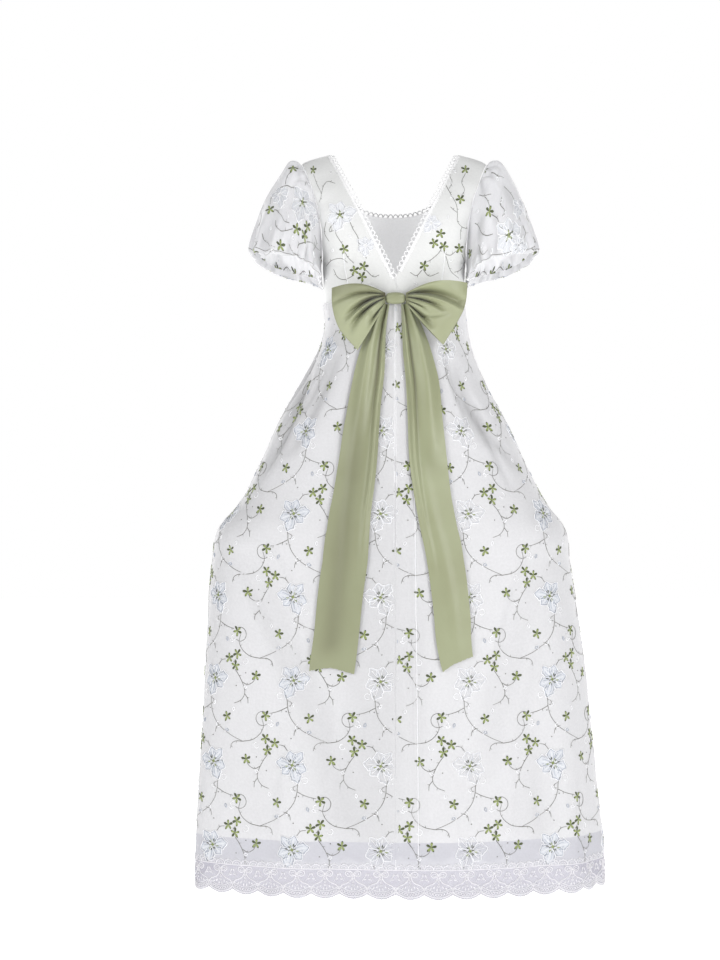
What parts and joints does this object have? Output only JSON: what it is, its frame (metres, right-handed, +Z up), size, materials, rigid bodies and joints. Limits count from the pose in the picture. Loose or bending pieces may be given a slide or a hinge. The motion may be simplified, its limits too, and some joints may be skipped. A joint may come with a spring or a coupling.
{
  "type": "puff sleeve maxi dress",
  "caption": "Long embroidered organza dress with short puff sleeves, a deep V back, a high waist with a satin bow and long tails, and a scalloped lace hem.",
  "frame": {"origin": "midway between the tops of the shoulder seams, where the wearer's shoulders hold the dress", "axes": "+Z up, along the dress; the front faces -Y and the back with the bow faces +Y; +X is the wearer's left"},
  "size_m": [0.7699, 0.4088, 1.3764],
  "materials": {
    "organza": "sheer white organza with a soft sheen, embroidered with green and white flowers",
    "lining": "opaque white lining, matt",
    "lace": "white net lace and scalloped braid",
    "satin": "sage green satin ribbon with a soft gloss"
  },
  "bodies": {
    "root": {"bodice_front": "organza", "bodice_back_left": "organza", "bodice_back_right": "organza", "sleeve_left": "organza", "sleeve_right": "organza", "skirt_front": "organza", "skirt_back_left": "organza", "skirt_back_right": "organza", "lining_front": "lining", "lining_back": "lining", "lace_hem_front": "lace", "lace_hem_back": "lace", "braid_back_left": "lace", "braid_back_right": "lace", "braid_front": "lace", "bow_knot": "satin", "bow_loop_left": "satin", "bow_loop_right": "satin", "bow_tail_left": "satin", "bow_tail_right": "satin"}
  },
  "joints": []
}
